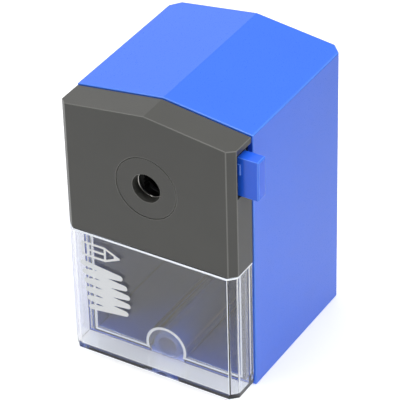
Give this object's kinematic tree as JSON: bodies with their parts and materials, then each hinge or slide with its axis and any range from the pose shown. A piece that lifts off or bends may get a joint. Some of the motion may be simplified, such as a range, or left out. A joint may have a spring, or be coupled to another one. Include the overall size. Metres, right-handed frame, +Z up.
{
  "type": "desk pencil sharpener",
  "caption": "Desk pencil sharpener: blue gable-roofed box, grey sliding pencil clamp with a side button, rear crank and clear shavings drawer.",
  "frame": {"origin": "centre of the housing's flat underside, on the table", "axes": "+Z up, the pencil goes in from the front (-Y), the crank is at the back (+Y), +X to the right seen from the front"},
  "size_m": [0.0711, 0.1066, 0.1032],
  "materials": {
    "blue_plastic": "moulded ABS, satin gloss",
    "grey_plastic": "moulded ABS, fine matt texture",
    "black_plastic": "moulded, matt",
    "clear_plastic": "clear polystyrene, polished",
    "acetal": "natural acetal",
    "tool_steel": "ground",
    "sheet_steel": "bright rolled",
    "plated_steel": "nickel plated",
    "spring_steel": "drawn wire",
    "rubber": "matt"
  },
  "bodies": {
    "housing": {"housing": "blue_plastic", "rubber_pads": "rubber", "inner_frame": "black_plastic", "nose_bush": "acetal", "rod_bushes": "acetal", "frame_screws": "plated_steel", "rear_collar": "grey_plastic", "ring_gear": "acetal", "feed_spring_left": "spring_steel", "feed_spring_right": "spring_steel"},
    "carriage": {"bezel": "grey_plastic", "pencil_collar": "grey_plastic", "guide_plate": "sheet_steel", "clamp_cover": "sheet_steel", "cover_screws": "plated_steel", "pinion_pin": "tool_steel", "guide_rods": "plated_steel", "rod_clips": "spring_steel", "button_spring": "spring_steel"},
    "button": {"push_button": "blue_plastic", "left_jaw": "rubber"},
    "right_jaw": {"jaw_slide": "black_plastic", "right_jaw": "rubber"},
    "pinion": {"jaw_pinion": "acetal"},
    "crank": {"cutter_carrier": "black_plastic", "crank_hub": "grey_plastic", "crank_arm": "plated_steel", "crank_screw": "plated_steel", "knob_pin": "plated_steel"},
    "knob": {"crank_knob": "blue_plastic"},
    "cutter": {"helical_cutter": "tool_steel", "planet_gear": "sheet_steel"},
    "drawer": {"drawer": "clear_plastic"}
  },
  "joints": [
    {"name": "feed_slide", "type": "slide", "parent": "housing", "child": "carriage", "axis": [0, -1, 0], "range_m": [0, 0.034], "stiffness_N_per_m": 25, "springref_m": -0.02, "deforming": ["feed_spring_left", "feed_spring_right"]},
    {"name": "button_press", "type": "slide", "parent": "carriage", "child": "button", "axis": [-1, 0, 0], "range_m": [0, 0.0026], "stiffness_N_per_m": 300, "springref_m": -0.003, "deforming": ["button_spring"]},
    {"name": "right_jaw_slide", "type": "slide", "parent": "carriage", "child": "right_jaw", "axis": [1, 0, 0], "range_m": [0, 0.0026]},
    {"name": "pinion_turn", "type": "hinge", "parent": "carriage", "child": "pinion", "pos_m": [0.011, -0.0362, 0.08495], "axis": [0, 1, 0], "range_deg": [-49.67, 0]},
    {"name": "crank_turn", "type": "hinge", "parent": "housing", "child": "crank", "pos_m": [0, 0.03, 0.0757], "axis": [0, 1, 0], "continuous": true},
    {"name": "knob_turn", "type": "hinge", "parent": "crank", "child": "knob", "pos_m": [0, 0.05, 0.0307], "axis": [0, 1, 0], "continuous": true},
    {"name": "cutter_turn", "type": "hinge", "parent": "crank", "child": "cutter", "pos_m": [0, 0.0222, 0.0797], "axis": [0, 0.9823, -0.1871], "continuous": true},
    {"name": "drawer_slide", "type": "slide", "parent": "housing", "child": "drawer", "axis": [0, -1, 0], "range_m": [0, 0.052]}
  ],
  "couplings": [
    {"joint": "right_jaw_slide", "follows": "button_press", "ratio": 1},
    {"joint": "pinion_turn", "follows": "button_press", "rad_per_m": -333.33},
    {"joint": "cutter_turn", "follows": "crank_turn", "ratio": -1.5882}
  ]
}
